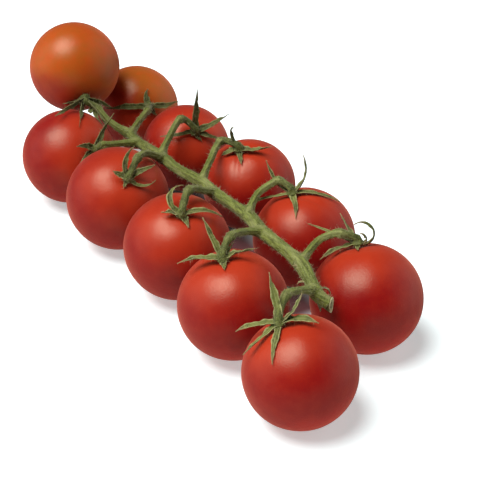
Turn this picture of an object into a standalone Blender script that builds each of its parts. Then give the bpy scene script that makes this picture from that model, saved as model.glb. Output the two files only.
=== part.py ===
"""A truss of vine tomatoes: one green stem with eleven round fruits in two rows, lying as picked.

Frame: metres, +Z up, and the surface that the truss lies on is z = 0. +Y runs along the stem from its
cut end to its tip, and the origin is on the surface below the middle of the whole truss. The tables
are in millimetres and degrees. Ten fruits lie on the surface, and the eleventh leans on the last two.
"""

import math

import bmesh
import bpy
from mathutils import Matrix, Vector

MM = 0.001
TRUSS = "tomato_truss"

GAP = 0.3  # clearance between neighbouring pieces
PRESS = 0.25  # how deep the flat spot is that a fruit lies on

# Fruit: a slightly flattened ball with a dimple at the stem end, in parts of its largest radius
POLE_HEIGHT = 0.985
DIMPLE_DEPTH = 0.045
DIMPLE_ANGLE = 0.26  # radians from the stem axis, where the dimple has faded
FRUIT_SEGMENTS = 22
FRUIT_RINGS = 13
FRUIT_EDGE_ANGLE = 25  # degrees; a sharper edge, such as the flat spot's, stays crisp

# Calyx: a button at the stem end with narrow leaves round it
BUTTON_RADIUS = 2.3
BUTTON_HEIGHT = 0.9  # half its height
BUTTON_SEGMENTS = 10
BUTTON_RINGS = 6
LEAF_THICKNESS = 0.7
LEAF_TIP_WIDTH = 0.7
LEAF_ROOT = 0.8  # width at the root, in parts of the full width
LEAF_SWELL = 0.6  # how much wider it would grow towards the tip, but for the taper
LEAF_TAPER = 1.4  # power of the taper: higher keeps the leaf wide for longer
LEAF_STATIONS = 7
LEAF_KEEL = 0.16  # how far the midrib stands below the edges, in parts of the width
LEAF_CLEARANCE = 0.8  # from a fruit's skin to the middle of a leaf

# Stem: the pedicels' radius, and the knuckle where a fruit breaks off
PEDICEL_RADIUS = 1.15
KNUCKLE_RADIUS = 1.6
KNUCKLE_REACH = 1.6  # along the pedicel, each way
KNUCKLE_NEAR = 0.7 * KNUCKLE_REACH  # where the swelling is rounded off
NECK_RADIUS = 1.5  # where the pedicel widens into the button
NECK_RISE = 1.6  # above the button, where the pedicel turns down into it
ROUTE_STEP = 2.4  # between the points of a tube
TUBE_RESOLUTION = 2  # eight sides
STEM_EDGE_ANGLE = 50  # degrees; a sharper edge stays crisp

# The main stem's route from the cut end to the fork at the tip: x, y, z, radius
RACHIS = (
    (3.8, -69.3, 26.2, 2.6),
    (1.8, -67.0, 28.0, 2.5),
    (1.0, -64.8, 29.6, 2.6),
    (1.0, -62.0, 31.7, 2.3),
    (1.5, -56.5, 33.4, 2.7),
    (1.5, -47.5, 33.0, 2.2),
    (1.0, -35.0, 32.2, 2.5),
    (1.5, -24.5, 32.3, 2.5),
    (1.0, -15.0, 31.3, 2.1),
    (0.5, -4.5, 30.0, 2.4),
    (0.2, 4.0, 29.4, 2.3),
    (-1.4, 17.7, 27.4, 2.0),
    (-2.3, 28.0, 27.0, 2.3),
    (-4.0, 41.0, 26.1, 2.0),
    (-4.6, 48.5, 26.4, 2.0),
)

# One entry for each fruit, in order from the cut end.
#   centre     x, y and, for the fruit that doesn't lie on the surface, z
#   diameter   at its widest
#   lean       tilt of the stem axis from +Z, and the heading that it tilts towards
#   arm        route of the pedicel from the middle of the main stem to the knuckle
#   leaves     heading as if the fruit stood upright, length, width,
#              rise above the skin at the root and at the tip, and turn of the heading on the way
FRUITS = (
    {
        "centre": (-13.5, -81.0),
        "diameter": 34.0,
        "lean": (22, 130),
        "arm": ((1.0, -64.6, 29.8), (-5.8, -67.6, 33.8), (-12.0, -70.0, 36.0)),
        "leaves": (
            (145, 13.5, 2.8, 30, -25, 0),
            (176, 14.0, 2.8, 5, -30, 0),
            (222, 14.0, 2.8, 0, -45, 0),
            (-45, 12.0, 3.4, 20, -45, 0),
            (48, 14.5, 3.4, 60, 65, 0),
            (-42, 12.5, 2.6, 25, 55, 0),
        ),
    },
    {
        "centre": (21.7, -61.8),
        "diameter": 35.0,
        "lean": (22, 88),
        "arm": ((1.5, -55.5, 33.4), (10.8, -49.6, 34.0), (15.0, -50.6, 36.0), (17.8, -52.2, 36.6)),
        "leaves": (
            (118, 17.0, 1.8, 20, 26, 15),
            (171, 13.0, 2.8, 10, -30, 0),
            (94, 11.0, 2.0, 45, 60, 0),
            (-32, 14.5, 2.2, -25, 215, 0),
            (241, 5.0, 1.8, -10, -50, 0),
        ),
    },
    {
        "centre": (-14.8, -44.3),
        "diameter": 34.5,
        "lean": (10, 150),
        "arm": ((1.2, -34.5, 32.2), (-6.0, -35.7, 35.3), (-13.0, -39.3, 38.0)),
        "leaves": (
            (152, 14.0, 3.4, 25, -20, 0),
            (94, 13.5, 2.6, 55, 60, 0),
            (245, 5.5, 2.6, 0, -60, 0),
            (-28, 10.5, 2.6, 25, -10, 0),
            (30, 7.0, 2.4, 20, 0, 0),
        ),
    },
    {
        "centre": (22.8, -23.9),
        "diameter": 33.6,
        "lean": (15, 130),
        "arm": ((1.4, -24.5, 32.4), (9.0, -17.2, 33.5), (15.3, -15.8, 35.0), (17.6, -16.2, 35.6)),
        "leaves": (
            (-18, 14.0, 2.8, 25, 100, 0),
            (100, 14.5, 2.2, 10, 85, 0),
            (-33, 16.0, 2.2, 0, -50, 0),
            (240, 11.5, 2.6, 0, -50, 0),
            (160, 16.0, 1.6, 6, -4, 0),
        ),
    },
    {
        "centre": (-15.5, -9.0),
        "diameter": 35.0,
        "lean": (20, -102),
        "arm": ((0.5, -4.5, 30.0), (-5.0, -7.3, 34.0), (-11.8, -10.5, 38.0)),
        "leaves": (
            (155, 6.5, 3.2, 25, -20, 0),
            (-90, 5.5, 2.8, 0, -40, 0),
            (-25, 14.0, 2.4, 25, -45, 0),
            (155, 14.0, 2.6, 35, -10, -190),
            (40, 6.0, 2.4, 20, 0, 0),
        ),
    },
    {
        "centre": (23.7, 13.6),
        "diameter": 32.4,
        "lean": (15, -175),
        "arm": ((0.2, 4.0, 29.4), (7.0, 11.0, 31.0), (15.3, 18.4, 33.0)),
        "leaves": (
            (100, 12.0, 2.0, 50, 150, 0),
            (-40, 11.5, 3.0, 0, 0, 0),
            (-115, 7.0, 2.4, -15, -60, 0),
            (160, 6.5, 3.0, 20, -40, 0),
            (60, 5.0, 2.4, 0, -30, 0),
        ),
    },
    {
        "centre": (-20.0, 26.1),
        "diameter": 35.0,
        "lean": (37, -93),
        "arm": ((-2.1, 26.5, 27.0), (-9.7, 23.6, 32.8), (-15.3, 18.9, 35.2)),
        "leaves": (
            (145, 6.0, 3.2, 35, 0, 0),
            (120, 12.0, 2.6, 55, 20, -110),
            (0, 10.0, 2.6, 25, 30, 0),
            (-65, 10.5, 1.8, -5, 5, 90),
            (-135, 4.0, 2.2, 0, -40, 0),
        ),
    },
    {
        "centre": (16.5, 46.5),
        "diameter": 31.5,
        "lean": (39, -98),
        "arm": ((-2.4, 28.5, 27.0), (3.0, 33.7, 29.0), (10.5, 38.0, 33.2)),
        "leaves": (
            (76, 16.5, 3.2, 50, 55, 0),
            (-5, 14.5, 3.0, 25, 60, 0),
            (-38, 9.5, 2.4, 15, -20, 0),
            (-75, 4.5, 2.4, -10, -40, 0),
            (165, 12.5, 2.0, 5, -30, 0),
        ),
    },
    {
        "centre": (-22.7, 60.5),
        "diameter": 33.3,
        "lean": (59, -74),
        "arm": ((-4.0, 42.0, 26.1), (-12.0, 42.8, 27.3), (-16.8, 44.0, 27.5)),
        "leaves": (
            (55, 14.5, 2.8, 10, 20, 0),
            (150, 8.0, 3.0, 30, -20, 35),
            (-150, 7.5, 2.6, 10, -20, 0),
            (10, 7.0, 2.6, 5, 0, 0),
            (-110, 4.0, 2.6, 5, -30, 0),
        ),
    },
    {
        "centre": (14.0, 82.0),
        "diameter": 31.5,
        "lean": (61, -97),
        "arm": ((-4.6, 47.5, 26.4), (2.3, 55.0, 26.0), (8.4, 60.6, 26.0)),
        "leaves": (
            (165, 16.0, 3.0, 5, -35, 0),
            (90, 7.5, 3.0, 20, -60, -60),
            (-9, 11.5, 3.0, 5, 0, 0),
            (-127, 4.0, 2.4, 5, -30, 0),
            (-62, 5.0, 2.4, 5, -30, 0),
        ),
    },
    {
        "centre": (-9.5, 82.0, 38.5),
        "diameter": 32.4,
        "lean": (106, -102),
        "arm": ((-4.6, 48.3, 26.4), (-7.4, 52.8, 28.0), (-8.8, 57.3, 29.0), (-9.9, 62.6, 31.0)),
        "leaves": (
            (150, 17.0, 2.8, 38, 38, 0),
            (195, 16.0, 2.6, 62, 66, 0),
            (-10, 14.0, 1.6, 70, 74, 0),
            (-30, 10.0, 3.0, 25, 15, 0),
            (190, 8.5, 2.8, 0, -30, 0),
            (-110, 7.0, 2.6, 0, -60, 0),
        ),
    },
)


def new_collection(name):
    collection = bpy.data.collections.new(name)
    bpy.context.scene.collection.children.link(collection)
    return collection


def new_object(name, data, collection):
    obj = bpy.data.objects.new(name, data)
    collection.objects.link(obj)
    return obj


def principled(name, colour, roughness):
    """A Principled BSDF material of one colour."""
    material = bpy.data.materials.new(name)
    material.use_nodes = True
    shader = material.node_tree.nodes["Principled BSDF"]
    shader.inputs["Base Color"].default_value = (*colour, 1.0)
    shader.inputs["Roughness"].default_value = roughness
    shader.inputs["Metallic"].default_value = 0.0
    material.diffuse_color = (*colour, 1.0)
    return material


def skin_radius(angle):
    """The fruit's radius over its largest one, at an angle in radians from the stem axis."""
    flattened = 1 / math.hypot(math.sin(angle), math.cos(angle) / POLE_HEIGHT)
    return flattened - DIMPLE_DEPTH * math.exp(-((angle / DIMPLE_ANGLE) ** 2))


def leaning(fruit):
    """The rotation that tips a fruit over from upright, its stem axis along +Z, towards its heading."""
    tilt, heading = (math.radians(a) for a in fruit["lean"])
    return Matrix.Rotation(tilt, 3, Vector((-math.sin(heading), math.cos(heading), 0)))


def lowest_reach(fruit):
    """How far a fruit reaches below its centre."""
    tilt = math.radians(fruit["lean"][0])
    angles = (math.radians(a) for a in range(181))
    return fruit["diameter"] / 2 * max(-math.cos(a + tilt) * skin_radius(a) for a in angles)


def centre_of(fruit):
    """A fruit that lies on the surface has its flat spot in it."""
    x, y, *z = fruit["centre"]
    return Vector((x, y, z[0] if z else lowest_reach(fruit) - PRESS))


def smooth_route(points, step):
    """Points about a step apart on a Catmull-Rom curve through the given ones, radius carried along."""
    ends = [2 * points[0] - points[1], *points, 2 * points[-1] - points[-2]]
    route = []
    for a, b, c, d in zip(ends, ends[1:], ends[2:], ends[3:]):
        count = max(1, round((c - b).length / step))
        for i in range(count):
            t = i / count
            square = (2 * a - 5 * b + 4 * c - d) * t**2
            cube = (3 * b - a - 3 * c + d) * t**3
            route.append(0.5 * (2 * b + (c - a) * t + square + cube))
    return [*route, points[-1]]


def to_mesh(obj):
    """Turns a curve object into a closed mesh object of the same name."""
    name, collection, matrix = obj.name, obj.users_collection[0], obj.matrix_world.copy()
    bpy.context.view_layer.update()
    graph = bpy.context.evaluated_depsgraph_get()
    mesh = bpy.data.meshes.new_from_object(obj.evaluated_get(graph))
    bpy.data.objects.remove(obj)
    caps = bmesh.new()
    caps.from_mesh(mesh)
    bmesh.ops.remove_doubles(caps, verts=caps.verts, dist=0.00001)
    bmesh.ops.recalc_face_normals(caps, faces=caps.faces)
    caps.to_mesh(mesh)
    caps.free()
    solid = new_object(name, mesh, collection)
    solid.matrix_world = matrix
    return solid


def tube(name, route, radii, collection):
    """A round tube of changing radius along a route, as a mesh."""
    curve = bpy.data.curves.new(name, "CURVE")
    curve.dimensions = "3D"
    curve.bevel_depth = MM
    curve.bevel_resolution = TUBE_RESOLUTION
    curve.use_fill_caps = True
    spline = curve.splines.new("POLY")
    spline.points.add(len(route) - 1)
    for point, place, radius in zip(spline.points, route, radii):
        point.co = (*(place * MM), 1.0)
        point.radius = radius
    return to_mesh(new_object(name, curve, collection))


def join_all(base, name, material):
    """Joins a solid with every other solid of its working collection, and leaves one named object."""
    working = base.users_collection[0]
    working.objects.unlink(base)
    truss.objects.link(base)
    union = base.modifiers.new("Union", "BOOLEAN")
    union.operation = "UNION"
    union.operand_type = "COLLECTION"
    union.collection = working
    union.solver = "EXACT"
    bpy.context.view_layer.update()
    graph = bpy.context.evaluated_depsgraph_get()
    mesh = bpy.data.meshes.new_from_object(base.evaluated_get(graph))
    for piece in list(working.objects):
        bpy.data.objects.remove(piece)
    bpy.data.objects.remove(base)
    bpy.data.collections.remove(working)
    mesh.materials.clear()
    mesh.materials.append(material)
    mesh.shade_smooth()
    mesh.set_sharp_from_angle(angle=math.radians(STEM_EDGE_ANGLE))
    return new_object(name, mesh, truss)


def make_fruit(number, fruit, material):
    """A ball shaped by the skin's formula, leaned over, and cut flat where it lies on the surface."""
    ball = bmesh.new()
    bmesh.ops.create_uvsphere(ball, u_segments=FRUIT_SEGMENTS, v_segments=FRUIT_RINGS, radius=1.0)
    radius = fruit["diameter"] / 2
    turn = leaning(fruit)
    middle = centre_of(fruit)
    for vert in ball.verts:
        angle = math.acos(max(-1.0, min(1.0, vert.co.z)))
        reach = radius * skin_radius(angle)
        vert.co = (turn @ vert.co.normalized() * reach + middle) * MM
    cut = bmesh.ops.bisect_plane(
        ball,
        geom=[*ball.verts, *ball.edges, *ball.faces],
        plane_co=(0, 0, 0),
        plane_no=(0, 0, -1),
        clear_outer=True,
    )
    rim = [e for e in cut["geom_cut"] if isinstance(e, bmesh.types.BMEdge)]
    if rim:
        bmesh.ops.contextual_create(ball, geom=rim)
    name = f"tomato_{number:02d}"
    mesh = bpy.data.meshes.new(name)
    ball.to_mesh(mesh)
    ball.free()
    mesh.materials.append(material)
    mesh.shade_smooth()
    mesh.set_sharp_from_angle(angle=math.radians(FRUIT_EDGE_ANGLE))
    return new_object(name, mesh, truss)


def knuckle_swell(distance):
    """The pedicel's radius at a distance from the knuckle."""
    fade = max(0.0, 1 - abs(distance) / KNUCKLE_REACH)
    return PEDICEL_RADIUS + (KNUCKLE_RADIUS - PEDICEL_RADIUS) * fade


def pedicel_routes(fruit):
    """The pedicel's two tubes, up to the knuckle and on to the button, as lists of points and radii."""
    axis = leaning(fruit) @ Vector((0, 0, 1))
    seat = button_middle(fruit)
    arm = [Vector(p) for p in fruit["arm"]]
    knuckle = arm[-1]
    route = smooth_route([*arm, seat + axis * NECK_RISE, seat], ROUTE_STEP)
    at = route.index(knuckle)
    along = (route[at + 1] - route[at - 1]).normalized()
    before = [p for p in route[:at] if (p - knuckle).length > KNUCKLE_REACH]
    after = [p for p in route[at + 1 :] if (p - knuckle).length > KNUCKLE_REACH]
    inner = [*before, knuckle - along * KNUCKLE_NEAR, knuckle - along * GAP / 2]
    outer = [knuckle + along * GAP / 2, knuckle + along * KNUCKLE_NEAR, *after]
    inner_radii = [knuckle_swell((p - knuckle).length) for p in inner]
    outer_radii = [knuckle_swell((p - knuckle).length) for p in outer]
    outer_radii[-2:] = [(PEDICEL_RADIUS + NECK_RADIUS) / 2, NECK_RADIUS]
    return (inner, inner_radii), (outer, outer_radii)


def make_stem(material):
    """The main stem and each pedicel as far as its knuckle, joined in one body."""
    working = new_collection("stem_parts")
    points = [Vector(p) for p in RACHIS]
    route = smooth_route(points, ROUTE_STEP)
    base = tube("main", [p.xyz for p in route], [p.w for p in route], working)
    for number, fruit in enumerate(FRUITS, 1):
        (inner, radii), _ = pedicel_routes(fruit)
        tube(f"arm_{number:02d}", inner, radii, working)
    return join_all(base, "stem", material)


def button_middle(fruit):
    """The middle of the calyx's button, just clear of the bottom of the dimple."""
    axis = leaning(fruit) @ Vector((0, 0, 1))
    height = fruit["diameter"] / 2 * skin_radius(0) + GAP + BUTTON_HEIGHT
    return centre_of(fruit) + axis * height


def clear_of_fruit(point, clearance):
    """The point, moved straight out of any fruit whose skin is nearer than the clearance."""
    for fruit in FRUITS:
        offset = point - centre_of(fruit)
        axis = leaning(fruit) @ Vector((0, 0, 1))
        least = fruit["diameter"] / 2 * skin_radius(offset.angle(axis)) + clearance
        if offset.length < least:
            point = centre_of(fruit) + offset.normalized() * least
    return point


def make_leaf(name, fruit, leaf, collection):
    """A narrow keeled blade that tapers to its tip, grown out of the button and clear of the fruits."""
    azimuth, length, width, rise, tip_rise, turn = leaf
    frame = leaning(fruit)
    place = button_middle(fruit)
    blade = bmesh.new()
    rows = []
    for i in range(LEAF_STATIONS):
        s = i / (LEAF_STATIONS - 1)
        heading = math.radians(azimuth + turn * s)
        lift = math.radians(rise + (tip_rise - rise) * s)
        outward = Vector((math.cos(heading), math.sin(heading), 0))
        across = Vector((-math.sin(heading), math.cos(heading), 0))
        along = outward * math.cos(lift) + Vector((0, 0, math.sin(lift)))
        up = along.cross(across)
        taper = (1 - s**LEAF_TAPER) * (LEAF_ROOT + LEAF_SWELL * s)
        half = max(LEAF_TIP_WIDTH, width * taper) / 2
        sides = ((-half, 0), (0, -2 * half * LEAF_KEEL), (half, 0))
        corners = [place + frame @ (across * w + up * h) for w, h in sides]
        rows.append([blade.verts.new(clear_of_fruit(c, LEAF_CLEARANCE) * MM) for c in corners])
        place = place + frame @ along * length / (LEAF_STATIONS - 1)
    for a, b in zip(rows, rows[1:]):
        blade.faces.new((a[0], b[0], b[1], a[1]))
        blade.faces.new((a[1], b[1], b[2], a[2]))
    bmesh.ops.triangulate(blade, faces=blade.faces)
    mesh = bpy.data.meshes.new(name)
    blade.to_mesh(mesh)
    blade.free()
    obj = new_object(name, mesh, collection)
    thicken = obj.modifiers.new("Thickness", "SOLIDIFY")
    thicken.thickness = LEAF_THICKNESS * MM
    thicken.offset = 0.0
    return obj


def make_calyx(number, fruit, material):
    """The pedicel beyond the knuckle, the button and its leaves, joined in one body."""
    working = new_collection(f"calyx_parts_{number:02d}")
    _, (outer, radii) = pedicel_routes(fruit)
    base = tube("neck", outer, radii, working)
    button = bmesh.new()
    bmesh.ops.create_uvsphere(
        button, u_segments=BUTTON_SEGMENTS, v_segments=BUTTON_RINGS, radius=BUTTON_RADIUS
    )
    bmesh.ops.scale(button, vec=(1, 1, BUTTON_HEIGHT / BUTTON_RADIUS), verts=button.verts)
    place = Matrix.Translation(button_middle(fruit)) @ leaning(fruit).to_4x4()
    bmesh.ops.transform(button, matrix=Matrix.Scale(MM, 4) @ place, verts=button.verts)
    mesh = bpy.data.meshes.new("button")
    button.to_mesh(mesh)
    button.free()
    new_object("button", mesh, working)
    for i, leaf in enumerate(fruit["leaves"]):
        make_leaf(f"leaf_{i}", fruit, leaf, working)
    return join_all(base, f"calyx_{number:02d}", material)


for old in list(bpy.data.objects):
    bpy.data.objects.remove(old)
truss = new_collection(TRUSS)

red = principled("red_skin", (0.55, 0.02, 0.01), 0.3)
orange = principled("orange_skin", (0.62, 0.13, 0.02), 0.3)
stem_green = principled("stem_green", (0.16, 0.26, 0.05), 0.6)
calyx_green = principled("calyx_green", (0.12, 0.20, 0.05), 0.65)

make_stem(stem_green)
for index, entry in enumerate(FRUITS, 1):
    make_calyx(index, entry, calyx_green)
    make_fruit(index, entry, orange if index > len(FRUITS) - 2 else red)
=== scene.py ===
"""The looks of a truss of vine tomatoes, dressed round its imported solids.

Every fruit, calyx and the stem gets a finer skin along the same routes as its solid. The tables are in
millimetres and degrees in the solids' own frame: +Y runs along the stem from its cut end to its tip,
and the surface that the truss lies on is z = 0.
"""

import math
import random

import bmesh
import bpy
import numpy as np
from mathutils import Matrix, Vector, noise
from mathutils.kdtree import KDTree


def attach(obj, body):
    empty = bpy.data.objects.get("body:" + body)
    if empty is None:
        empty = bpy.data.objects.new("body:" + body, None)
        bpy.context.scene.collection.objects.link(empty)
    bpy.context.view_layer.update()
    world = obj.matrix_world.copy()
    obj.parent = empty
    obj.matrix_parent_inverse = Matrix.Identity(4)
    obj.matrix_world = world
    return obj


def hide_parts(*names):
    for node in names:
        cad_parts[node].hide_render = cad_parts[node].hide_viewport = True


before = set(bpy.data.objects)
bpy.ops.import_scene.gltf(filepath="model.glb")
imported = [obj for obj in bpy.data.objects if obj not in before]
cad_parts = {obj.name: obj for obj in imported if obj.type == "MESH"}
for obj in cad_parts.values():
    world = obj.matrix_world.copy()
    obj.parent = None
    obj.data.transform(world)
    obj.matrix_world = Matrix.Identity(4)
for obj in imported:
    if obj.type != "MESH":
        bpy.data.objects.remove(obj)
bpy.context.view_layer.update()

MM = 0.001
GAP = 0.3  # between a calyx and the bottom of its fruit's dimple
PRESS = 0.25  # how deep the flat spot is that a fruit lies on

# Fruit: a slightly flattened ball with a dimple at the stem end. Lengths are in parts of its largest
# radius, and angles in radians from the stem axis.
POLE_HEIGHT = 0.985
DIMPLE_DEPTH = 0.045
DIMPLE_ANGLE = 0.26
SKIN_SHRINK = 0.991  # keeps the skin inside the solid's box
OUTER_SHRINK = 0.985  # the same for the fruit that reaches furthest to the right
FRUIT_RINGS = 72
FRUIT_SEGMENTS = 108
SHOULDER_LOBES = 5
SHOULDER_DEPTH = 0.006  # of the soft lobes round the stem end
SHOULDER_ANGLE = 0.55
SHOULDER_SPREAD = 0.38
GROOVE_START = 0.15
GROOVE_WIDTH = 0.075
SCAR_DEPTH = 0.012
SCAR_ANGLE = 0.09
UNEVEN_DEPTH = 0.004
UNEVEN_SCALE = 1.3

# Stem and pedicels
PEDICEL_RADIUS = 1.15
KNUCKLE_RADIUS = 1.6
KNUCKLE_REACH = 1.6
KNUCKLE_LAP = 0.35  # how far each of the two skins runs on past the knuckle
NECK_RADIUS = 1.5
NECK_RISE = 1.6
NECK_FLARE = ((-1, 1.0), (-2, 0.7), (-3, 0.35))  # share of the widening at the last points of the route
ROUTE_STEP = 1.0
TUBE_SIDES = 20
PEDICEL_SIDES = 14
STEM_VOXEL = 0.26
NECK_VOXEL = 0.2
RIDGE_COUNT = 5
RIDGE_HEIGHT = 0.10
NECK_RIDGE_HEIGHT = 0.05
RIDGE_TURN = 0.09  # radians that the ridges wind in a millimetre
LUMP_HEIGHT = 0.12
LUMP_SCALE = 0.5
ROOT_FLARE = 0.75  # how much wider a pedicel is where it leaves the main stem
ROOT_REACH = 3.4
SLIM = 0.85  # the main stem's radius in parts of its solid's, away from the cut end
CUT_SLIM = 0.72  # the same at the cut end, where the cut's own piece widens again
SLIM_FROM = 4.0

# Calyx
BUTTON_HEIGHT = 0.9
BUTTON_SHAPE = (2.0, 1.0)  # radius and half height of the visible button
SEPAL_STATIONS = 26
SEPAL_ACROSS = 8
SEPAL_KEEL = 0.42  # depth of the fold along the middle, in parts of the half width
KEEL_SPREAD = (0.6, 1.4)
KEEL_ROUND = 1.4
SEPAL_SLIM = 0.88  # a sepal's width in parts of its solid's
SEPAL_FLUTTER = 0.26
SEPAL_THICKNESS = 0.55
THIN_MARGIN = 0.65  # how much of the thickness is gone at the margins, and at the tip
THIN_TIP = 0.55
SEPAL_CLEARANCE = 0.5
SEPAL_ROOT = 0.8  # width at the root, in parts of the sepal's own
SEPAL_SWELL = 0.7
SEPAL_TAPER = 1.5
SEPAL_LEAST = 0.16  # half width at the very tip
SEPAL_TWIST = 110
SEPAL_TWIST_EASE = 2.5  # the higher, the nearer the tip the twist sets in
SEPAL_WAVES = (1.4, 2.6)
SEPAL_SWAY = 12
MARGIN_UNEVEN = 0.12
MARGIN_LEAD = 1.3  # radians that one margin's waves are ahead of the other's
FINE_WAVES = 5.3  # half turns of the finer ripple to each whole wave
FINE_LEAD = 2.1
UV_INSET = 0.004  # keeps the margins clear of the place where the lower face's strip begins

HAIR_LENGTH = (0.35, 1.7)
HAIR_SKEW = 2.2  # the higher, the rarer the long hairs
HAIR_RADIUS = 0.038
HAIR_ROOT = 0.05  # depth of the foot in the skin
HAIR_LEAN = 0.35
STEM_HAIRS = 5200
CALYX_HAIRS = 300

# The main stem's route from the cut end to the fork at the tip: x, y, z, radius
RACHIS = (
    (3.8, -69.3, 26.2, 2.6),
    (1.8, -67.0, 28.0, 2.5),
    (1.0, -64.8, 29.6, 2.6),
    (1.0, -62.0, 31.7, 2.3),
    (1.5, -56.5, 33.4, 2.7),
    (1.5, -47.5, 33.0, 2.2),
    (1.0, -35.0, 32.2, 2.5),
    (1.5, -24.5, 32.3, 2.5),
    (1.0, -15.0, 31.3, 2.1),
    (0.5, -4.5, 30.0, 2.4),
    (0.2, 4.0, 29.4, 2.3),
    (-1.4, 17.7, 27.4, 2.0),
    (-2.3, 28.0, 27.0, 2.3),
    (-4.0, 41.0, 26.1, 2.0),
    (-4.6, 48.5, 26.4, 2.0),
)

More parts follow.
